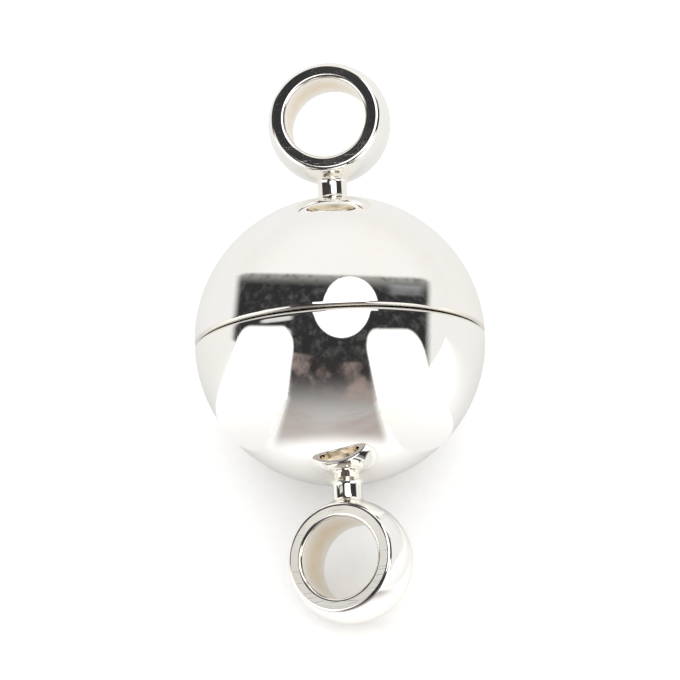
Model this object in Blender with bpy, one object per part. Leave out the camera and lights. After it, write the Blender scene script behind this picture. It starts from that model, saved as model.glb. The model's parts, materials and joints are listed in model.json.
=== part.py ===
"""Ball-shaped magnetic clasp for a necklace or a bracelet.

Two turned metal hemispheres meet at a fine seam. Each has a loop on a short neck at its pole,
and a disc magnet set in a pocket of its flat mating face. The clasp lies closed on a level
surface, on the ball and on the rim of the near loop, with its far loop raised.
"""
from math import asin, atan2, cos, pi, radians, sin, sqrt

import bmesh
import bpy
from mathutils import Matrix, Vector

mm = 0.001

# Ball
ball_radius = 4.0 * mm
seam_gap = 0.12 * mm            # between the two mating faces
rim_chamfer = 0.09 * mm         # broken edge of each rim, which shows as the seam's lip

# Magnets and the pockets that hold them
magnet_radius = 2.5 * mm
magnet_thickness = 2.0 * mm
magnet_chamfer = 0.15 * mm
magnet_recess = 0.10 * mm       # how far the magnet stays below the mating face
pocket_clearance = 0.10 * mm    # glue space around and behind the magnet

# Necks
neck_radius = 0.40 * mm
neck_length = 0.50 * mm         # from the ball to the bead
neck_fillet = 0.15 * mm

# Loops: each is a round bead with two flats and a hole drilled through them
bead_radius = 1.70 * mm
loop_width = 1.60 * mm          # across the flats
hole_radius = 1.12 * mm
loop_chamfer = 0.08 * mm
near_loop_turn = radians(25)    # of the hole about its own half's axis, from facing straight up
far_loop_turn = radians(-10)

# Fineness of the round surfaces
ball_sides = 24
ball_rings = 6                  # puts the middle of a facet, not an edge, under the resting clasp
bead_sides = 40
bead_rings = 8
fillet_steps = 3
magnet_sides = 48

loop_distance = ball_radius + neck_length + bead_radius    # from the ball's centre to the bead's
face_height = seam_gap / 2                                 # the mating face, above that centre


def clear_scene():
    for item in list(bpy.data.objects):
        bpy.data.objects.remove(item, do_unlink=True)


def metal(name, colour, roughness):
    material = bpy.data.materials.new(name)
    material.use_nodes = True
    shader = material.node_tree.nodes["Principled BSDF"]
    shader.inputs["Base Color"].default_value = (*colour, 1.0)
    shader.inputs["Metallic"].default_value = 1.0
    shader.inputs["Roughness"].default_value = roughness
    return material


def arc(centre, radius, start, end, steps):
    """Points of a profile arc from one angle to another, measured from the outward direction."""
    angles = [start + (end - start) * step / steps for step in range(steps + 1)]
    return [(centre[0] + radius * cos(angle), centre[1] + radius * sin(angle)) for angle in angles]


def turned(profile, sides, closed):
    """A mesh turned about Z from (radius, height) points; an open profile starts and ends on Z.

    The first face of the turning is centred on the X axis.
    """
    mesh = bmesh.new()
    verts = [mesh.verts.new((radius, 0, height)) for radius, height in profile]
    edges = [mesh.edges.new(pair) for pair in zip(verts, verts[1:])]
    if closed:
        edges.append(mesh.edges.new((verts[-1], verts[0])))
    bmesh.ops.rotate(mesh, verts=verts, cent=(0, 0, 0), matrix=Matrix.Rotation(pi / sides, 3, "Z"))
    bmesh.ops.spin(mesh, geom=verts + edges, cent=(0, 0, 0), axis=(0, 0, 1), angle=2 * pi,
                   steps=sides, use_merge=True)
    bmesh.ops.remove_doubles(mesh, verts=mesh.verts, dist=0.0005 * mm)
    bmesh.ops.recalc_face_normals(mesh, faces=mesh.faces)
    return mesh


def solid(name, mesh, material):
    data = bpy.data.meshes.new(name)
    mesh.to_mesh(data)
    mesh.free()
    data.shade_smooth()
    data.set_sharp_from_angle(angle=radians(25))
    data.materials.append(material)
    item = bpy.data.objects.new(name, data)
    bpy.context.scene.collection.objects.link(item)
    return item


def half_profile():
    """Outline of one half without its loop: pocket, mating face, rim, ball, foot and neck."""
    pocket_radius = magnet_radius + pocket_clearance
    pocket_floor = face_height + magnet_recess + magnet_thickness + pocket_clearance
    rim_radius = sqrt(ball_radius ** 2 - face_height ** 2) - rim_chamfer
    rim_angle = asin((face_height + rim_chamfer) / ball_radius)

    fillet_offset = neck_radius + neck_fillet
    foot_height = sqrt((ball_radius + neck_fillet) ** 2 - fillet_offset ** 2)
    foot_angle = atan2(foot_height, fillet_offset)
    bead_drop = sqrt((bead_radius + neck_fillet) ** 2 - fillet_offset ** 2)
    flare_angle = atan2(bead_drop, -fillet_offset)

    ball = arc((0, 0), ball_radius, rim_angle, foot_angle, ball_rings)
    foot = arc((fillet_offset, foot_height), neck_fillet, foot_angle + pi, pi, fillet_steps)
    flare = arc((fillet_offset, loop_distance - bead_drop), neck_fillet, pi, flare_angle, fillet_steps)
    flare = flare[:-1]                                     # the last point would only graze the bead
    root_height = loop_distance - (bead_radius + hole_radius) / 2    # ends inside the bead's wall
    return [
        (0, pocket_floor), (pocket_radius, pocket_floor), (pocket_radius, face_height),
        (rim_radius, face_height), *ball, *foot[1:], *flare,
        (flare[-1][0], root_height), (0, root_height),
    ]


def loop_profile():
    """Section of the drilled bead, as (distance from the hole's axis, distance along it)."""
    side = loop_width / 2
    flat_radius = sqrt(bead_radius ** 2 - side ** 2)
    crown_angle = asin((side - loop_chamfer) / bead_radius)
    crown = arc((0, 0), bead_radius, -crown_angle, crown_angle, bead_rings)
    return [
        (hole_radius + loop_chamfer, -side), (flat_radius - loop_chamfer, -side), *crown,
        (flat_radius - loop_chamfer, side), (hole_radius + loop_chamfer, side),
        (hole_radius, side - loop_chamfer), (hole_radius, loop_chamfer - side),
    ]


def loop_mesh(turn):
    """The drilled bead in its half's frame, at the end of the neck, its hole across the axis."""
    mesh = turned(loop_profile(), bead_sides, closed=True)
    place = (Matrix.Translation((0, 0, loop_distance)) @ Matrix.Rotation(turn, 4, "Z")
             @ Matrix.Rotation(pi / 2, 4, "X"))
    bmesh.ops.transform(mesh, matrix=place, verts=mesh.verts)
    return mesh


def magnet_profile():
    front = face_height + magnet_recess
    back = front + magnet_thickness
    inner = magnet_radius - magnet_chamfer
    return [
        (0, front), (inner, front), (magnet_radius, front + magnet_chamfer),
        (magnet_radius, back - magnet_chamfer), (inner, back), (0, back),
    ]


def make_half(name, loop_turn, material):
    """One hemisphere with its neck, and its loop joined to it as one piece of metal."""
    half = solid(name, turned(half_profile(), ball_sides, closed=False), material)
    loop = solid(name + "_loop_form", loop_mesh(loop_turn), material)
    loop.parent = half
    loop.hide_render = True
    loop.display_type = "WIRE"
    join = half.modifiers.new("loop", "BOOLEAN")
    join.operation = "UNION"
    join.solver = "EXACT"
    join.object = loop
    return half, loop


def make_magnet(name, material):
    return solid(name, turned(magnet_profile(), magnet_sides, closed=False), material)


def points(item, turn):
    return [turn @ vertex.co for vertex in item.data.vertices]


def resting_tilt(ball_points, loop_points):
    """Tilt of the clasp's axis at which the near loop comes down to the ball's lowest point."""
    def lowest(cloud, tilt):
        turn = Matrix.Rotation(tilt - pi / 2, 3, "X")
        return min((turn @ point).z for point in cloud)

    level, steep = 0.0, pi / 3
    for _ in range(40):
        tilt = (level + steep) / 2
        if lowest(loop_points, tilt) > lowest(ball_points, tilt):
            level = tilt
        else:
            steep = tilt
    return tilt


def build():
    clear_scene()
    silver_plate = metal("silver_plate", (0.93, 0.91, 0.87), 0.06)
    nickel_plate = metal("nickel_plate", (0.62, 0.61, 0.59), 0.18)

    near_half, near_loop = make_half("near_half", near_loop_turn, silver_plate)
    far_half, far_loop = make_half("far_half", far_loop_turn, silver_plate)
    near_magnet = make_magnet("near_magnet", nickel_plate)
    far_magnet = make_magnet("far_magnet", nickel_plate)

    flip = Matrix.Rotation(pi, 3, "X")                     # the near half faces the other way
    tilt = resting_tilt(points(near_half, flip), points(near_loop, flip))
    lean = Matrix.Rotation(tilt - pi / 2, 3, "X")
    ends = points(near_loop, lean @ flip) + points(far_loop, lean)
    ball_floor = min(point.z for point in points(near_half, lean @ flip))

    # The clasp's axis: local Z runs from the near loop through the ball's centre to the far loop.
    axis = bpy.data.objects.new("clasp_axis", None)
    bpy.context.scene.collection.objects.link(axis)
    middle = (min(point.y for point in ends) + max(point.y for point in ends)) / 2
    axis.location = Vector((0, -middle, -ball_floor))
    axis.rotation_euler.x = tilt - pi / 2
    for item in (near_half, near_magnet, far_half, far_magnet):
        item.parent = axis
    for item in (near_half, near_magnet):
        item.rotation_euler.x = pi


build()
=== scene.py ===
import json
from math import atan2, cos, pi, radians, sin, sqrt

import bmesh
import bpy
from mathutils import Matrix, Vector, noise


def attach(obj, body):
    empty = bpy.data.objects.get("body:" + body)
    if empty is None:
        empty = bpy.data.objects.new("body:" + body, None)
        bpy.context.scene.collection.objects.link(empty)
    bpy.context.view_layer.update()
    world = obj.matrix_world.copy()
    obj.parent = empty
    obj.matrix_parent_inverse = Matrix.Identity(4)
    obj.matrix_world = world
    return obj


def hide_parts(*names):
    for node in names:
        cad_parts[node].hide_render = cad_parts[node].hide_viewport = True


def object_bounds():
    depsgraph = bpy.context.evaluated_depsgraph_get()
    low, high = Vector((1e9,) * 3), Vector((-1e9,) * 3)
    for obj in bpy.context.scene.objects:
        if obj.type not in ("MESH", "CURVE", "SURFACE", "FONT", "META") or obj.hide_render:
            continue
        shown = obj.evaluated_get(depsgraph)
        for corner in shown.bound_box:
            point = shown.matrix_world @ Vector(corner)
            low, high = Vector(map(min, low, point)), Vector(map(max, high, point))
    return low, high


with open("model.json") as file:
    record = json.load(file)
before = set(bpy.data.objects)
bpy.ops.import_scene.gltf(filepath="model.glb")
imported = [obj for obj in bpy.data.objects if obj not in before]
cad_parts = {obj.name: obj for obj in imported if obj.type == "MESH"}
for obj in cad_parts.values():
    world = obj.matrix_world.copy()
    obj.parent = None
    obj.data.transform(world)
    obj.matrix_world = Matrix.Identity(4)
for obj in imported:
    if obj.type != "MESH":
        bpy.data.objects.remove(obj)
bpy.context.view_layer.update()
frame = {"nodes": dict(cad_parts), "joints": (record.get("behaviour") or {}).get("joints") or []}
print("frame loaded:", sorted(frame["nodes"]))

# Lengths below are in millimetres, in a half's own frame: the ball's centre is at the origin
# and the loop stands on the Z axis. toScene turns them into metres in the scene.
swivel = next(joint for joint in frame["joints"] if joint["name"] == "swivel")
ballCentre = Vector(swivel["pos_m"])
claspAxis = Vector(swivel["axis"]).normalized()
sideways = Vector((1, 0, 0))
farTurn = Matrix((sideways, claspAxis.cross(sideways), claspAxis)).transposed()
nearTurn = farTurn @ Matrix.Rotation(pi, 3, "X")         # the near half faces the other way


def toScene(turn):
    return Matrix.Translation(ballCentre) @ turn.to_4x4() @ Matrix.Scale(0.001, 4)


# drawing and turning profiles

def lineTo(mesh, pen, distance, height):
    # draws one straight piece of a profile and returns its end point
    end = bmesh.ops.extrude_vert_indiv(mesh, verts=[pen])["verts"][0]
    end.co = (distance, 0, height)
    return end


def arcAround(mesh, pen, centre, angle, steps):
    # sweeps the pen round a point of the profile plane, counter-clockwise for a positive angle
    swept = bmesh.ops.spin(mesh, geom=[pen], cent=(centre[0], 0, centre[1]), axis=(0, -1, 0),
                           angle=angle, steps=steps, use_merge=False)
    return next(item for item in swept["geom_last"] if isinstance(item, bmesh.types.BMVert))


def startPen(mesh, distance, height):
    return mesh.verts.new((distance, 0, height))


def turnProfile(mesh, sides):
    # a full turn about Z of everything drawn so far, closed where it meets the axis
    bmesh.ops.spin(mesh, geom=mesh.verts[:] + mesh.edges[:], cent=(0, 0, 0), axis=(0, 0, 1),
                   angle=2 * pi, steps=sides, use_merge=True)
    bmesh.ops.remove_doubles(mesh, verts=mesh.verts, dist=0.0005)
    bmesh.ops.recalc_face_normals(mesh, faces=mesh.faces)


def newObject(name, mesh):
    data = bpy.data.meshes.new(name)
    mesh.to_mesh(data)
    mesh.free()
    item = bpy.data.objects.new(name, data)
    bpy.context.scene.collection.objects.link(item)
    return item


# shader groups that several finishes share

def place(tree, kind, x, y, **settings):
    made = tree.nodes.new(kind)
    made.location = (x, y)
    for setting, value in settings.items():
        setattr(made, setting, value)
    return made


def mathNode(tree, operation, first, second, x, y):
    made = place(tree, "ShaderNodeMath", x, y, operation=operation)
    for socket, value in zip(made.inputs, (first, second)):
        if isinstance(value, bpy.types.NodeSocket):
            tree.links.new(value, socket)
        elif value is not None:
            socket.default_value = value
    return made.outputs[0]


def remap(tree, value, low, high, outLow, outHigh, x, y, smooth=True):
    made = place(tree, "ShaderNodeMapRange", x, y)
    made.interpolation_type = "SMOOTHSTEP" if smooth else "LINEAR"
    tree.links.new(value, made.inputs["Value"])
    for socket, amount in (("From Min", low), ("From Max", high), ("To Min", outLow), ("To Max", outHigh)):
        if isinstance(amount, bpy.types.NodeSocket):
            tree.links.new(amount, made.inputs[socket])
        else:
            made.inputs[socket].default_value = amount
    return made.outputs["Result"]


def noiseNode(tree, vector, scale, detail, roughness, x, y):
    made = place(tree, "ShaderNodeTexNoise", x, y)
    tree.links.new(vector, made.inputs["Vector"])
    made.inputs["Scale"].default_value = scale
    made.inputs["Detail"].default_value = detail
    made.inputs["Roughness"].default_value = roughness
    return made.outputs["Fac"]


def blendColours(tree, amount, first, second, x, y):
    made = place(tree, "ShaderNodeMix", x, y, data_type="RGBA")
    for socket, value in ((made.inputs[0], amount), (made.inputs[6], first), (made.inputs[7], second)):
        if isinstance(value, bpy.types.NodeSocket):
            tree.links.new(value, socket)
        else:
            socket.default_value = value
    return made.outputs[2]


def startGroup(name, inputs, outputs):
    group = bpy.data.node_groups.new(name, "ShaderNodeTree")
    for label, kind, value in inputs:
        socket = group.interface.new_socket(label, in_out="INPUT", socket_type="NodeSocket" + kind)
        if value is not None:
            socket.default_value = value
    for label, kind in outputs:
        group.interface.new_socket(label, in_out="OUTPUT", socket_type="NodeSocket" + kind)
    return group, place(group, "NodeGroupInput", -900, 0), place(group, "NodeGroupOutput", 900, 0)


def handledPlateGroup():
    # soft smudges from handling: they dull the polish and leave a faint warm cast
    group, given, out = startGroup("handledPlate", [
        ("Vector", "Vector", None), ("Clean", "Color", (1, 1, 1, 1)), ("Warm", "Color", (1, 0.9, 0.7, 1)),
        ("Warmth", "Float", 0.2), ("Polish", "Float", 0.05), ("Haze", "Float", 0.05),
    ], [("Color", "Color"), ("Roughness", "Float")])
    broad = noiseNode(group, given.outputs["Vector"], 0.42, 3, 0.55, -650, 200)
    fine = noiseNode(group, given.outputs["Vector"], 2.6, 5, 0.62, -650, -100)
    smudge = remap(group, broad, 0.44, 0.68, 0, 1, -430, 200)
    speckle = remap(group, fine, 0.42, 0.72, 0.25, 1, -430, -100)
    patch = mathNode(group, "MULTIPLY", smudge, speckle, -200, 100)
    cast = mathNode(group, "MULTIPLY", patch, given.outputs["Warmth"], 0, 200)
    colour = blendColours(group, cast, given.outputs["Clean"], given.outputs["Warm"], 300, 200)
    dulling = mathNode(group, "MULTIPLY", patch, given.outputs["Haze"], 0, -100)
    roughness = mathNode(group, "ADD", dulling, given.outputs["Polish"], 300, -100)
    group.links.new(colour, out.inputs["Color"])
    group.links.new(roughness, out.inputs["Roughness"])
    return group


def plateReliefGroup():
    # height in millimetres of the plate's own skin: a faint orange peel and hairline scratches
    group, given, out = startGroup("plateRelief", [
        ("Vector", "Vector", None), ("Peel", "Float", 0.0003), ("Scratches", "Float", 0.0003),
    ], [("Height", "Float")])
    peel = noiseNode(group, given.outputs["Vector"], 3.4, 2, 0.5, -650, 300)
    total = mathNode(group, "MULTIPLY", peel, given.outputs["Peel"], -200, 300)
    lines = None
    lays = ((0.3, 0.1, 0.5), 9), ((1.2, 0.8, 2.1), 12), ((2.4, 1.5, 0.9), 10)    # (turn, stretch)
    for index, (turn, stretch) in enumerate(lays):
        lay = place(group, "ShaderNodeMapping", -700, -250 * index)
        lay.inputs["Rotation"].default_value = turn
        lay.inputs["Scale"].default_value = (0.5, stretch, 0.5)
        group.links.new(given.outputs["Vector"], lay.inputs["Vector"])
        streak = noiseNode(group, lay.outputs["Vector"], 1.3, 1, 0.4, -480, -250 * index)
        hair = remap(group, streak, 0.66, 0.72, 0, 1, -260, -250 * index)
        lines = hair if lines is None else mathNode(group, "MAXIMUM", lines, hair, -60, -250 * index)
    cuts = mathNode(group, "MULTIPLY", lines, given.outputs["Scratches"], 200, -200)
    group.links.new(mathNode(group, "SUBTRACT", total, cuts, 450, 0), out.inputs["Height"])
    return group


def toolMarksGroup():
    # fine uneven rings left by the lathe or the drill, about Z
    group, given, out = startGroup("toolMarks", [
        ("Vector", "Vector", None), ("Pitch", "Float", 12.0), ("Depth", "Float", 0.0005),
    ], [("Height", "Float"), ("Mask", "Float")])
    split = place(group, "ShaderNodeSeparateXYZ", -700, 0)
    group.links.new(given.outputs["Vector"], split.inputs[0])
    flat = place(group, "ShaderNodeCombineXYZ", -540, 100)
    group.links.new(split.outputs["X"], flat.inputs["X"])
    group.links.new(split.outputs["Y"], flat.inputs["Y"])
    length = place(group, "ShaderNodeVectorMath", -380, 100, operation="LENGTH")
    group.links.new(flat.outputs[0], length.inputs[0])
    along = mathNode(group, "MULTIPLY", split.outputs["Z"], 0.83, -380, -80)
    travel = mathNode(group, "ADD", length.outputs["Value"], along, -200, 0)
    ring = mathNode(group, "MULTIPLY", travel, given.outputs["Pitch"], -20, 0)
    cut = place(group, "ShaderNodeTexNoise", 140, 0, noise_dimensions="1D")
    cut.inputs["Scale"].default_value = 1.0
    cut.inputs["Detail"].default_value = 3
    cut.inputs["Roughness"].default_value = 0.7
    group.links.new(ring, cut.inputs["W"])
    height = mathNode(group, "MULTIPLY", cut.outputs["Fac"], given.outputs["Depth"], 450, 100)
    mask = remap(group, cut.outputs["Fac"], 0.4, 0.65, 0, 1, 450, -120)
    group.links.new(height, out.inputs["Height"])
    group.links.new(mask, out.inputs["Mask"])
    return group


def wearAndPaintedLightBandGroup():
    # a broken band at one distance along a direction: rubbed wear at a rim, a loop's edges or a neck, and
    # the painted warm reflection in a loop's hole
    group, given, out = startGroup("wearAndPaintedLightBand", [
        ("Vector", "Vector", None), ("Direction", "Vector", (0, 0, 1)), ("Distance", "Float", 0.0),
        ("Width", "Float", 0.2), ("Breakup", "Float", 0.5),
    ], [("Mask", "Float")])
    reach = place(group, "ShaderNodeVectorMath", -650, 150, operation="DOT_PRODUCT")
    group.links.new(given.outputs["Vector"], reach.inputs[0])
    group.links.new(given.outputs["Direction"], reach.inputs[1])
    size = mathNode(group, "ABSOLUTE", reach.outputs["Value"], None, -450, 150)
    off = mathNode(group, "SUBTRACT", size, given.outputs["Distance"], -280, 150)
    away = mathNode(group, "ABSOLUTE", off, None, -120, 150)
    band = remap(group, away, 0.0, given.outputs["Width"], 1, 0, 60, 150)
    worn = noiseNode(group, given.outputs["Vector"], 3.1, 4, 0.6, -650, -150)
    gaps = remap(group, worn, 0.35, 0.65, 0, 1, -280, -150)
    missing = mathNode(group, "MULTIPLY", gaps, given.outputs["Breakup"], 60, -150)
    kept = mathNode(group, "SUBTRACT", 1.0, missing, 250, -150)
    group.links.new(mathNode(group, "MULTIPLY", band, kept, 500, 0), out.inputs["Mask"])
    return group


handledPlate = handledPlateGroup()
plateRelief = plateReliefGroup()
toolMarks = toolMarksGroup()
wearAndPaintedLightBand = wearAndPaintedLightBandGroup()


def useGroup(tree, group, x, y, vector, **values):
    made = place(tree, "ShaderNodeGroup", x, y, node_tree=group)
    tree.links.new(vector, made.inputs["Vector"])
    for label, value in values.items():
        made.inputs[label].default_value = value
    return made


def startMetal(name, centre, turn):
    # a material whose pattern reads millimetres in the piece's own frame
    material = bpy.data.materials.new(name)
    material.use_nodes = True
    tree = material.node_tree
    shader = tree.nodes["Principled BSDF"]
    shader.location = (600, 0)
    tree.nodes["Material Output"].location = (900, 0)
    shader.inputs["Metallic"].default_value = 1.0
    where = place(tree, "ShaderNodeTexCoord", -1100, 0)
    local = place(tree, "ShaderNodeMapping", -900, 0, vector_type="TEXTURE")
    local.inputs["Location"].default_value = centre
    local.inputs["Rotation"].default_value = turn.to_euler()
    local.inputs["Scale"].default_value = (0.001, 0.001, 0.001)
    tree.links.new(where.outputs["Object"], local.inputs["Vector"])
    return material, tree, shader, local.outputs["Vector"]


def addRelief(tree, shader, height):
    bump = place(tree, "ShaderNodeBump", 350, -300)
    bump.inputs["Distance"].default_value = 0.001             # heights are in millimetres
    tree.links.new(height, bump.inputs["Height"])
    tree.links.new(bump.outputs["Normal"], shader.inputs["Normal"])


# silver plate

silver = {
    "clean": (0.965, 0.955, 0.93, 1),
    "warm": (0.95, 0.87, 0.70, 1),
    "brassy": (0.93, 0.77, 0.48, 1),       # where the plate has worn thin
    "paintedBoreReflection": (0.84, 0.70, 0.50, 1),      # painted warm reflection, a darker tan, in the middle of the loop's hole
    "turned": (0.82, 0.80, 0.76, 1),       # on the mating face and in the pocket
    "groove": (0.56, 0.53, 0.48, 1),
    "polish": 0.028,
    "haze": 0.07,
    "peel": 0.00035,
    "scratches": 0.00014,
}


def polishedPlate(name, turn, dims):
    material, tree, shader, local = startMetal(name, ballCentre, turn)
    plate = useGroup(tree, handledPlate, -500, 150, local, Clean=silver["clean"], Warm=silver["warm"],
                     Warmth=0.35, Polish=silver["polish"], Haze=silver["haze"])
    rim = useGroup(tree, wearAndPaintedLightBand, -500, -150, local, Direction=(0, 0, 1), Distance=dims["face"],
                   Width=0.13, Breakup=0.45)
    neck = useGroup(tree, wearAndPaintedLightBand, -500, -400, local, Direction=(0, 0, 1), Distance=dims["neckMiddle"],
                    Width=0.55, Breakup=0.6)
    paler = mathNode(tree, "MULTIPLY", neck.outputs["Mask"], 0.45, -350, -400)
    thin = mathNode(tree, "MAXIMUM", rim.outputs["Mask"], paler, -250, -250)
    cast = mathNode(tree, "MULTIPLY", thin, 0.6, -50, -250)
    tree.links.new(blendColours(tree, cast, plate.outputs["Color"], silver["brassy"], 250, 200),
                   shader.inputs["Base Color"])
    dull = mathNode(tree, "MULTIPLY", thin, 0.10, -50, -80)
    roughness = mathNode(tree, "ADD", plate.outputs["Roughness"], dull, 250, -50)
    tree.links.new(roughness, shader.inputs["Roughness"])
    skin = useGroup(tree, plateRelief, -250, -600, local, Peel=silver["peel"], Scratches=silver["scratches"])
    addRelief(tree, shader, skin.outputs["Height"])
    return material


def turnedPlate(name, turn):
    # the mating face and the pocket, plated over lathe marks
    material, tree, shader, local = startMetal(name, ballCentre, turn)
    plate = useGroup(tree, handledPlate, -500, 150, local, Clean=silver["turned"], Warm=silver["brassy"],
                     Warmth=0.45, Polish=0.16, Haze=0.14)
    marks = useGroup(tree, toolMarks, -500, -200, local, Pitch=11.0, Depth=0.004)
    grooves = mathNode(tree, "MULTIPLY", marks.outputs["Mask"], 0.45, 0, 0)
    colour = blendColours(tree, grooves, plate.outputs["Color"], silver["groove"], 250, 200)
    tree.links.new(colour, shader.inputs["Base Color"])
    tree.links.new(plate.outputs["Roughness"], shader.inputs["Roughness"])
    addRelief(tree, shader, marks.outputs["Height"])
    return material


def drilledPlate(name, turn, holeTurn, dims):
    # the loop's two flats, its rounded edges and the wall of its hole
    loopTurn = turn @ Matrix.Rotation(holeTurn, 3, "Z") @ Matrix.Rotation(pi / 2, 3, "X")
    centre = ballCentre + turn @ Vector((0, 0, dims["loopDistance"])) * 0.001
    material, tree, shader, local = startMetal(name, centre, loopTurn)
    plate = useGroup(tree, handledPlate, -500, 150, local, Clean=silver["clean"], Warm=silver["warm"],
                     Warmth=0.5, Polish=0.05, Haze=0.08)
    # painted warm reflection: a darker tan band down the middle of the loop's hole
    boreReflectionMask = useGroup(tree, wearAndPaintedLightBand, -500, -150, local, Direction=(0, 0, 1), Distance=0.0,
                    Width=dims["loopSide"] * 1.2, Breakup=0.25)
    colour = blendColours(tree, boreReflectionMask.outputs["Mask"], plate.outputs["Color"], silver["paintedBoreReflection"], 250, 200)
    tree.links.new(colour, shader.inputs["Base Color"])
    tree.links.new(plate.outputs["Roughness"], shader.inputs["Roughness"])
    marks = useGroup(tree, toolMarks, -500, -400, local, Pitch=9.0, Depth=0.0006)
    skin = useGroup(tree, plateRelief, -500, -620, local, Peel=0.0002, Scratches=0.0002)
    addRelief(tree, shader, mathNode(tree, "ADD", marks.outputs["Height"], skin.outputs["Height"], 0, -450))
    return material


# the two halves

half = {
    "ballRadius": 4.0,
    "face": 0.015,               # the mating face, above the ball's centre
    "rimRound": 0.10,
    "pocketRadius": 2.6,
    "pocketFloor": 2.26,
    "pocketBreak": 0.05,         # broken edge of the pocket's mouth
    "neckRadius": 0.40,
    "neckFillet": 0.15,
    "loopDistance": 6.2,
    "beadRadius": 1.70,
    "loopSide": 0.80,            # half the loop's width
    "holeRadius": 1.12,
    "holeRound": 0.10,
    "crownRound": 0.12,
    "sides": 256,
    "ballSteps": 72,
    "beadSteps": 56,
    "waveHeight": 0.012,         # the pressed ball is not quite true
    "waveLength": 3.2,
}
half["neckMiddle"] = half["ballRadius"] + 0.25


def drawHalf(mesh):
    big, rim, fillet = half["ballRadius"], half["rimRound"], half["neckFillet"]
    rimHeight = half["face"] + rim
    rimDistance = sqrt((big - rim) ** 2 - rimHeight ** 2)
    rimAngle = atan2(rimHeight, rimDistance)
    offset = half["neckRadius"] + fillet
    footHeight = sqrt((big + fillet) ** 2 - offset ** 2)
    footAngle = atan2(footHeight, offset)
    drop = sqrt((half["beadRadius"] + fillet) ** 2 - offset ** 2)
    flareAngle = atan2(drop, offset)

    pen = startPen(mesh, 0, half["pocketFloor"])
    pen = lineTo(mesh, pen, half["pocketRadius"], half["pocketFloor"])
    pen = lineTo(mesh, pen, half["pocketRadius"], half["face"] + half["pocketBreak"])
    pen = lineTo(mesh, pen, half["pocketRadius"] + half["pocketBreak"], half["face"])
    pen = lineTo(mesh, pen, rimDistance, half["face"])
    pen = arcAround(mesh, pen, (rimDistance, rimHeight), pi / 2 + rimAngle, 8)
    pen = arcAround(mesh, pen, (0, 0), footAngle - rimAngle, half["ballSteps"])
    pen = arcAround(mesh, pen, (offset, footHeight), -footAngle, 8)
    pen = lineTo(mesh, pen, half["neckRadius"], half["loopDistance"] - drop)
    pen = arcAround(mesh, pen, (offset, half["loopDistance"] - drop), -flareAngle, 8)
    arcAround(mesh, pen, (0, half["loopDistance"]), pi / 2 + flareAngle, half["beadSteps"])


def drawSpool(mesh):
    # cuts the loop's flats and hole in one go, with rounded edges; its axis is the hole's
    side, hole = half["loopSide"], half["holeRadius"]
    early = radians(18)                                   # leaves the crown's round before it turns tangent
    crown = half["crownRound"]
    crownHeight = side - crown
    crownDistance = sqrt((half["beadRadius"] - crown) ** 2 - crownHeight ** 2)
    crownTurn = pi / 2 - atan2(crownHeight, crownDistance) - early
    leave = Vector((cos(pi / 2 - crownTurn), sin(pi / 2 - crownTurn)))
    outside = Vector((crownDistance, crownHeight)) + leave * crown + Vector((leave.y, -leave.x)) * 0.35

    pen = startPen(mesh, 0, side + 1.2)
    pen = lineTo(mesh, pen, outside.x + 0.6, side + 1.2)
    pen = lineTo(mesh, pen, outside.x, outside.y)
    pen = lineTo(mesh, pen, crownDistance + leave.x * crown, crownHeight + leave.y * crown)
    pen = arcAround(mesh, pen, (crownDistance, crownHeight), crownTurn, 6)
    pen = lineTo(mesh, pen, crownDistance - 0.01, side)       # keeps the flat flat up to its rounds
    pen = lineTo(mesh, pen, hole + half["holeRound"] + 0.01, side)
    pen = lineTo(mesh, pen, hole + half["holeRound"], side)
    pen = arcAround(mesh, pen, (hole + half["holeRound"], side - half["holeRound"]), pi / 2, 6)
    pen = lineTo(mesh, pen, hole, side - half["holeRound"] - 0.01)
    lineTo(mesh, pen, hole, 0)
    below = bmesh.ops.duplicate(mesh, geom=mesh.verts[:] + mesh.edges[:])["geom"]
    belowVerts = [item for item in below if isinstance(item, bmesh.types.BMVert)]
    bmesh.ops.scale(mesh, vec=(1, 1, -1), verts=belowVerts)
    bmesh.ops.remove_doubles(mesh, verts=mesh.verts, dist=0.0005)


def cutLoop(blank, holeTurn):
    mesh = bmesh.new()
    drawSpool(mesh)
    turnProfile(mesh, 192)
    bmesh.ops.transform(mesh, verts=mesh.verts, matrix=Matrix.Translation((0, 0, half["loopDistance"]))
                        @ Matrix.Rotation(holeTurn, 4, "Z") @ Matrix.Rotation(pi / 2, 4, "X"))
    cutter = newObject("loopCutter", mesh)
    cut = blank.modifiers.new("loop", "BOOLEAN")
    cut.operation = "DIFFERENCE"
    cut.solver = "EXACT"
    cut.object = cutter
    bpy.context.view_layer.update()
    done = bpy.data.meshes.new_from_object(blank.evaluated_get(bpy.context.evaluated_depsgraph_get()))
    blank.modifiers.remove(cut)
    bpy.data.objects.remove(cutter, do_unlink=True)
    return done


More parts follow.
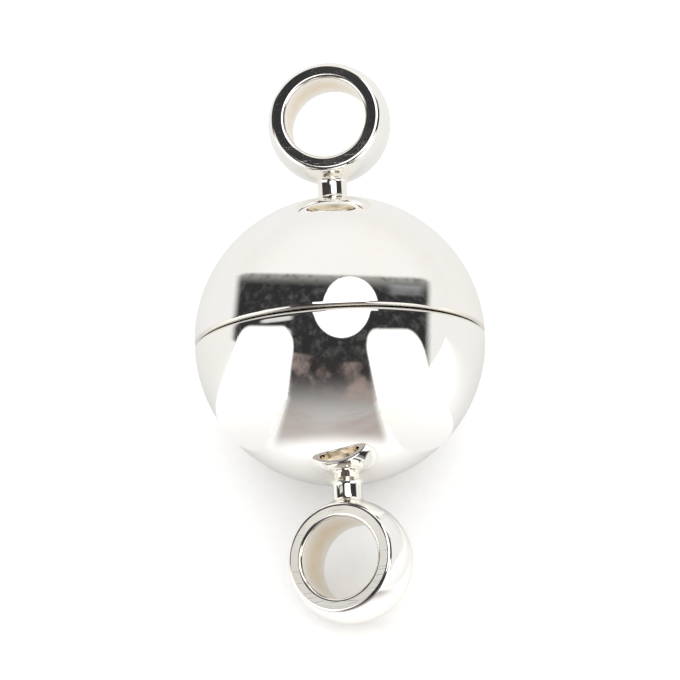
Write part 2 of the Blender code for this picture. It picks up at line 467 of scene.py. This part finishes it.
def makeHalf(name, turn, holeTurn, node, body, seed):
    mesh = bmesh.new()
    drawHalf(mesh)
    turnProfile(mesh, half["sides"])
    blank = newObject(name, mesh)
    shaped = cutLoop(blank, holeTurn)

    mesh = bmesh.new()
    mesh.from_mesh(shaped)
    bmesh.ops.remove_doubles(mesh, verts=mesh.verts, dist=0.0005)
    bmesh.ops.dissolve_degenerate(mesh, edges=mesh.edges, dist=0.0002)
    bmesh.ops.recalc_face_normals(mesh, faces=mesh.faces)
    loopCentre = Vector((0, 0, half["loopDistance"]))
    for face in mesh.faces:                               # polished outside, turned and drilled within
        middle = face.calc_center_median()
        inBall = middle.length < half["ballRadius"] - 0.012 and middle.z < half["pocketFloor"] + 0.01
        inBead = (middle - loopCentre).length < half["beadRadius"] - 0.008
        inLoop = inBead and middle.z > half["ballRadius"] + 0.2
        face.material_index = 1 if inBall else 2 if inLoop else 0
        face.smooth = True
    for vert in mesh.verts:
        wave = noise.noise(vert.co / half["waveLength"] + Vector((seed, 0, 0)))
        vert.co += vert.normal * wave * half["waveHeight"]
    bmesh.ops.transform(mesh, verts=mesh.verts, matrix=toScene(turn))
    mesh.to_mesh(blank.data)
    mesh.free()
    bpy.data.meshes.remove(shaped)
    blank.data.set_sharp_from_angle(angle=radians(32))
    for material in (polishedPlate(name + "Polished", turn, half), turnedPlate(name + "Turned", turn),
                     drilledPlate(name + "Drilled", turn, holeTurn, half)):
        blank.data.materials.append(material)
    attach(blank, body)
    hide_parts(node)
    print(name, "made:", len(blank.data.polygons), "faces")
    return blank


makeHalf("nearHemisphere", nearTurn, radians(25), "near_half", "near", 3.7)
makeHalf("farHemisphere", farTurn, radians(-10), "far_half", "far", 11.2)


# the magnets

magnet = {
    "radius": 2.5,
    "front": 0.16,               # just below the mating face
    "thickness": 2.0,
    "edgeRound": 0.15,
    "sides": 160,
    "plate": (0.60, 0.585, 0.56, 1),
    "stain": (0.50, 0.46, 0.40, 1),
    "wornEdge": (0.74, 0.72, 0.68, 1),
}


def dullNickel(name, turn):
    material, tree, shader, local = startMetal(name, ballCentre, turn)
    plate = useGroup(tree, handledPlate, -500, 150, local, Clean=magnet["plate"], Warm=magnet["stain"],
                     Warmth=0.9, Polish=0.15, Haze=0.22)
    edge = useGroup(tree, wearAndPaintedLightBand, -500, -150, local, Direction=(0, 0, 1), Distance=magnet["front"],
                    Width=0.12, Breakup=0.8)
    bright = mathNode(tree, "MULTIPLY", edge.outputs["Mask"], 0.6, -50, 0)
    colour = blendColours(tree, bright, plate.outputs["Color"], magnet["wornEdge"], 250, 200)
    tree.links.new(colour, shader.inputs["Base Color"])
    tree.links.new(plate.outputs["Roughness"], shader.inputs["Roughness"])
    skin = useGroup(tree, plateRelief, -500, -450, local, Peel=0.0026, Scratches=0.0022)
    addRelief(tree, shader, skin.outputs["Height"])
    return material


def makeMagnet(name, turn, node, body):
    mesh = bmesh.new()
    edge, front = magnet["edgeRound"], magnet["front"]
    inner, back = magnet["radius"] - edge, front + magnet["thickness"]
    pen = startPen(mesh, 0, front)
    pen = lineTo(mesh, pen, inner, front)
    pen = arcAround(mesh, pen, (inner, front + edge), pi / 2, 7)
    pen = lineTo(mesh, pen, magnet["radius"], back - edge)
    pen = arcAround(mesh, pen, (inner, back - edge), pi / 2, 7)
    lineTo(mesh, pen, 0, back)
    turnProfile(mesh, magnet["sides"])
    for face in mesh.faces:
        face.smooth = True
    bmesh.ops.transform(mesh, verts=mesh.verts, matrix=toScene(turn))
    disc = newObject(name, mesh)
    disc.data.set_sharp_from_angle(angle=radians(32))
    disc.data.materials.append(dullNickel(name + "Nickel", turn))
    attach(disc, body)
    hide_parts(node)
    print(name, "made:", len(disc.data.polygons), "faces")
    return disc


makeMagnet("nearDisc", nearTurn, "near_magnet", "near")
makeMagnet("farDisc", farTurn, "far_magnet", "pulled_magnet")


# camera

shot = {
    "azimuth": radians(-3),
    "elevation": radians(52.6),
    "lens": 300,
    "frameHeight": 0.0187,       # metres of the clasp's plane that the picture takes in
    "aim": (0.0, 0.0, 0.0040),
    "across": 0.0,               # nudges of the aim, in metres of the picture
    "upward": 0.0,
}

azimuth, elevation = shot["azimuth"], shot["elevation"]
cameraBack = Vector((sin(azimuth) * cos(elevation), -cos(azimuth) * cos(elevation), sin(elevation)))
cameraRight = Vector((cos(azimuth), sin(azimuth), 0))
cameraUp = cameraBack.cross(cameraRight)
cameraData = bpy.data.cameras.new("camera")
cameraData.lens = shot["lens"]
cameraData.clip_start = 0.005
cameraData.clip_end = 20
camera = bpy.data.objects.new("camera", cameraData)
bpy.context.scene.collection.objects.link(camera)
halfAngle = atan2(18, shot["lens"])
stand = shot["frameHeight"] / 2 / (sin(halfAngle) / cos(halfAngle))
target = Vector(shot["aim"]) + cameraRight * shot["across"] + cameraUp * shot["upward"]
camera.matrix_world = (Matrix.Translation(target + cameraBack * stand)
                       @ Matrix((cameraRight, cameraUp, cameraBack)).transposed().to_4x4())
bpy.context.scene.camera = camera
bpy.context.scene.view_settings.view_transform = "Standard"


# floor

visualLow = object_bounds()[0]

floorLook = {
    "size": 4.0,
    "colour": (0.93, 0.93, 0.925, 1),
    "shade": (0.915, 0.915, 0.91, 1),
    "mirrored": (0.61, 0.607, 0.60, 1),      # painted shade: the floor as the plate shows it, beside and behind the clasp
    # painted light: the floor as the plate shows it, in front of the clasp
    "mirroredLitFront": (0.88, 0.877, 0.87, 1),
    "fibres": 4200,
}


def paperFloor():
    # matt white board; in the plate it is seen with painted light and shade: painted shade, a little greyer,
    # beside and behind the clasp, and painted light in front of it
    material = bpy.data.materials.new("whiteBoard")
    material.use_nodes = True
    tree = material.node_tree
    shader = tree.nodes["Principled BSDF"]
    shader.inputs["Specular IOR Level"].default_value = 0.0
    shader.inputs["Roughness"].default_value = 0.9
    where = place(tree, "ShaderNodeTexCoord", -900, 0)
    fibre = noiseNode(tree, where.outputs["Object"], floorLook["fibres"], 4, 0.6, -900, -200)
    fleck = remap(tree, fibre, 0.3, 0.7, 0, 1, -650, 0)
    board = blendColours(tree, fleck, floorLook["colour"], floorLook["shade"], -450, 0)
    ray = place(tree, "ShaderNodeLightPath", -650, 350)
    split = place(tree, "ShaderNodeSeparateXYZ", -900, 100)
    tree.links.new(where.outputs["Object"], split.inputs[0])
    # painted pool of light in front of the clasp, shown only in the plate's reflections
    litFrontMask = remap(tree, split.outputs["Y"], -0.008, 0.001, 0, 1, -650, 100)
    mirrored = blendColours(tree, litFrontMask, floorLook["mirroredLitFront"], floorLook["mirrored"], -450, 200)
    tree.links.new(blendColours(tree, ray.outputs["Is Glossy Ray"], board, mirrored, -200, 100),
                   shader.inputs["Base Color"])
    bump = place(tree, "ShaderNodeBump", -250, -300)
    bump.inputs["Distance"].default_value = 0.00001
    tree.links.new(fibre, bump.inputs["Height"])
    tree.links.new(bump.outputs["Normal"], shader.inputs["Normal"])
    return material


mesh = bmesh.new()
bmesh.ops.create_grid(mesh, x_segments=8, y_segments=8, size=floorLook["size"] / 2)
bmesh.ops.translate(mesh, verts=mesh.verts, vec=(0, 0, visualLow.z))
floor = newObject("floor", mesh)
floor.data.materials.append(paperFloor())
print("floor at", round(visualLow.z * 1000, 4), "mm")


# studio: what the polished plate mirrors

studio = {
    "seen": (1, 1, 1, 1),
    "light": (1.0, 0.998, 0.995, 1),
    "lightStrength": 1.5,
    "mirroredLow": (0.905, 0.90, 0.892, 1),
    "mirroredHigh": (0.975, 0.965, 0.957, 1),
    "cardLift": 0.0003,          # of a card that lies on the floor
}


def studioWorld():
    world = bpy.data.worlds.new("studio")
    bpy.context.scene.world = world
    world.use_nodes = True
    tree = world.node_tree
    out = tree.nodes["World Output"]
    tree.nodes.remove(tree.nodes["Background"])
    ray = place(tree, "ShaderNodeLightPath", -900, 300)
    where = place(tree, "ShaderNodeTexCoord", -900, -100)
    split = place(tree, "ShaderNodeSeparateXYZ", -700, -100)
    tree.links.new(where.outputs["Generated"], split.inputs[0])
    rise = remap(tree, split.outputs["Z"], 0.05, 0.6, 0, 1, -500, -100)
    cloth = blendColours(tree, rise, studio["mirroredLow"], studio["mirroredHigh"], -300, -100)
    backs = []
    tones = (studio["seen"], 1.0), (studio["light"], studio["lightStrength"]), (None, 1.0)
    for index, (colour, strength) in enumerate(tones):
        back = place(tree, "ShaderNodeBackground", -50, 200 - 200 * index)
        if colour:
            back.inputs["Color"].default_value = colour
        else:
            tree.links.new(cloth, back.inputs["Color"])
        back.inputs["Strength"].default_value = strength
        backs.append(back)
    mirrored = place(tree, "ShaderNodeMixShader", 200, 0)
    tree.links.new(ray.outputs["Is Glossy Ray"], mirrored.inputs[0])
    tree.links.new(backs[1].outputs[0], mirrored.inputs[1])
    tree.links.new(backs[2].outputs[0], mirrored.inputs[2])
    seen = place(tree, "ShaderNodeMixShader", 400, 100)
    tree.links.new(ray.outputs["Is Camera Ray"], seen.inputs[0])
    tree.links.new(mirrored.outputs[0], seen.inputs[1])
    tree.links.new(backs[0].outputs[0], seen.inputs[2])
    tree.links.new(seen.outputs[0], out.inputs["Surface"])


studioWorld()

# Each card stands where the ball mirrors it. "corners" are its lower left, lower right, upper right
# and upper left corner as they show on the ball, in ball radii from its middle as the camera sees it.
# Below the floor's horizon a card lies forward on the floor.
cards = {
    "darkCeiling": {"corners": ((-0.755, -0.02), (0.62, -0.24), (0.63, 0.44), (-0.71, 0.475)), "away": 0.130,
                    "corner": 0.16, "soft": 0.09, "top": (0.42, 0.42, 0.40), "foot": (0.030, 0.030, 0.032),
                    "fall": (0.82, 1.0), "patch": (0.12, 0.12, 0.115), "mottle": 70, "patchy": 0.7},
    "darkGap": {"corners": ((-0.42, -0.62), (0.32, -0.62), (0.22, 0.08), (-0.36, 0.08)), "away": 0.133,
                "corner": 0.22, "soft": 0.22, "top": (0.035, 0.032, 0.034), "foot": (0.64, 0.63, 0.62),
                "fall": (0.02, 0.62), "patch": (0.42, 0.33, 0.31), "mottle": 22, "patchy": 0.75},
    "greyStreak": {"corners": ((0.29, 0.30), (0.60, 0.29), (0.60, 0.385), (0.29, 0.40)), "away": 0.1285,
                   "corner": 0.5, "soft": 0.8, "top": (0.40, 0.40, 0.41), "foot": (0.24, 0.24, 0.25),
                   "fall": (0.1, 0.9), "patch": (0.12, 0.12, 0.12), "mottle": 60, "patchy": 0.5},
    "paleStreak": {"corners": ((-0.55, 0.105), (-0.3, 0.135), (-0.3, 0.20), (-0.55, 0.175)), "away": 0.1285,
                   "corner": 0.5, "soft": 0.4, "top": (0.86, 0.85, 0.82), "foot": (0.72, 0.71, 0.69),
                   "fall": (0.1, 0.9), "patch": (0.60, 0.59, 0.57), "mottle": 70, "patchy": 0.5},
    "lampOver": {"corners": ((-0.115, 0.035), (0.26, 0.035), (0.26, 0.437), (-0.115, 0.437)), "away": 0.110,
                 "keep": 1, "corner": 1.0, "soft": 0.05, "top": (1.6, 1.6, 1.6), "foot": (1.8, 1.8, 1.8),
                 "fall": (0.5, 1.0), "patch": (1.5, 1.5, 1.48), "mottle": 20, "patchy": 0.5},
    "lampUnder": {"corners": ((-0.19, 0.015), (0.21, 0.015), (0.21, 0.457), (-0.19, 0.457)), "away": 0.110,
                  "keep": -1, "corner": 1.0, "soft": 0.05, "top": (1.8, 1.8, 1.8), "foot": (1.6, 1.6, 1.6),
                  "fall": (0.0, 0.5), "patch": (1.5, 1.5, 1.48), "mottle": 20, "patchy": 0.5},
    "leftBox": {"corners": ((-0.76, -0.63), (-0.385, -0.63), (-0.285, 0.11), (-0.70, 0.11)), "away": 0.112,
                "corner": 0.5, "soft": 0.07, "top": (1.25, 1.25, 1.24), "foot": (0.93, 0.925, 0.915),
                "fall": (0.0, 0.5), "patch": (1.04, 1.04, 1.03), "mottle": 16, "patchy": 0.5},
    "rightBox": {"corners": ((0.30, -0.63), (0.70, -0.63), (0.54, 0.09), (0.14, 0.09)), "away": 0.112,
                 "corner": 0.5, "soft": 0.07, "top": (1.25, 1.25, 1.24), "foot": (0.93, 0.925, 0.915),
                 "fall": (0.0, 0.5), "patch": (1.04, 1.04, 1.03), "mottle": 16, "patchy": 0.5},
}


def cardShapeGroup():
    # a rounded card drawn on its own UV square, with soft edges
    group, given, out = startGroup("cardShape", [
        ("Vector", "Vector", None), ("Corner", "Float", 0.2), ("Soft", "Float", 0.05),
    ], [("Mask", "Float")])
    centred = place(group, "ShaderNodeVectorMath", -700, 0, operation="MULTIPLY_ADD")
    centred.inputs[1].default_value = (2, 2, 0)
    centred.inputs[2].default_value = (-1, -1, 0)
    group.links.new(given.outputs["Vector"], centred.inputs[0])
    size = place(group, "ShaderNodeVectorMath", -550, 0, operation="ABSOLUTE")
    group.links.new(centred.outputs[0], size.inputs[0])
    split = place(group, "ShaderNodeSeparateXYZ", -400, 0)
    group.links.new(size.outputs[0], split.inputs[0])
    inner = mathNode(group, "SUBTRACT", 1.0, given.outputs["Corner"], -550, -200)
    squares = []
    for axis, y in (("X", 150), ("Y", -150)):
        past = mathNode(group, "SUBTRACT", split.outputs[axis], inner, -250, y)
        over = mathNode(group, "MAXIMUM", past, 0.0, -100, y)
        squares.append(mathNode(group, "POWER", over, 2.0, 60, y))
    far = mathNode(group, "SQRT", mathNode(group, "ADD", squares[0], squares[1], 220, 0), None, 360, 0)
    edge = mathNode(group, "SUBTRACT", far, given.outputs["Corner"], 500, 0)
    start = mathNode(group, "MULTIPLY", given.outputs["Soft"], -1.0, 360, -200)
    group.links.new(remap(group, edge, start, 0.0, 1, 0, 680, 0), out.inputs["Mask"])
    return group


cardShape = cardShapeGroup()


def cardMaterial(name, card):
    # a soft fall from the card's top tone to its foot tone, broken by darker or lighter patches
    material = bpy.data.materials.new(name)
    material.use_nodes = True
    tree = material.node_tree
    tree.nodes.remove(tree.nodes["Principled BSDF"])
    where = place(tree, "ShaderNodeTexCoord", -1100, 0)
    split = place(tree, "ShaderNodeSeparateXYZ", -900, 350)
    tree.links.new(where.outputs["UV"], split.inputs[0])
    rise = remap(tree, split.outputs["Y"], *card["fall"], 0, 1, -700, 350)
    fall = blendColours(tree, rise, (*card["foot"], 1), (*card["top"], 1), -450, 350)
    cloud = noiseNode(tree, where.outputs["Object"], card["mottle"], 4, 0.6, -900, 100)
    patches = remap(tree, cloud, 0.45, 0.72, 0, card["patchy"], -700, 100)
    glow = place(tree, "ShaderNodeEmission", 0, 200)
    tree.links.new(blendColours(tree, patches, fall, (*card["patch"], 1), -200, 200), glow.inputs["Color"])
    shape = useGroup(tree, cardShape, -450, -200, where.outputs["UV"], Corner=card["corner"],
                     Soft=card["soft"])
    clear = place(tree, "ShaderNodeBsdfTransparent", 0, 0)
    mixed = place(tree, "ShaderNodeMixShader", 250, 100)
    tree.links.new(shape.outputs["Mask"], mixed.inputs[0])
    tree.links.new(clear.outputs[0], mixed.inputs[1])
    tree.links.new(glow.outputs[0], mixed.inputs[2])
    tree.links.new(mixed.outputs[0], tree.nodes["Material Output"].inputs["Surface"])
    return material


def hangCard(name, card):
    mesh = bmesh.new()
    mesh.loops.layers.uv.new("UVMap")
    bmesh.ops.create_grid(mesh, x_segments=40, y_segments=40, size=0.5, calc_uvs=True)
    if "keep" in card:                                        # only the upper or the lower half
        bmesh.ops.bisect_plane(mesh, geom=mesh.verts[:] + mesh.edges[:] + mesh.faces[:], dist=0.0001,
                               plane_co=(0, 0, 0), plane_no=(0, card["keep"], 0), clear_inner=True)
    lowLeft, lowRight, highRight, highLeft = (Vector(corner) for corner in card["corners"])
    clearance = ballCentre.z - visualLow.z - studio["cardLift"]
    for vert in mesh.verts:
        across, up = vert.co.x + 0.5, vert.co.y + 0.5
        u, v = lowLeft.lerp(lowRight, across).lerp(highLeft.lerp(highRight, across), up)
        w = sqrt(1 - u * u - v * v)
        mirrored = (cameraRight * u + cameraUp * v + cameraBack * w) * 2 * w - cameraBack
        reach = min(card["away"], clearance / max(-mirrored.z, 0.0001))
        vert.co = ballCentre + mirrored * reach
    item = newObject(name, mesh)
    item.data.materials.append(cardMaterial(name, card))
    item.visible_camera = False
    item.visible_diffuse = False
    item.visible_shadow = False
    item.visible_transmission = False


for name, card in cards.items():
    hangCard(name, card)
print("cards hung:", len(cards))
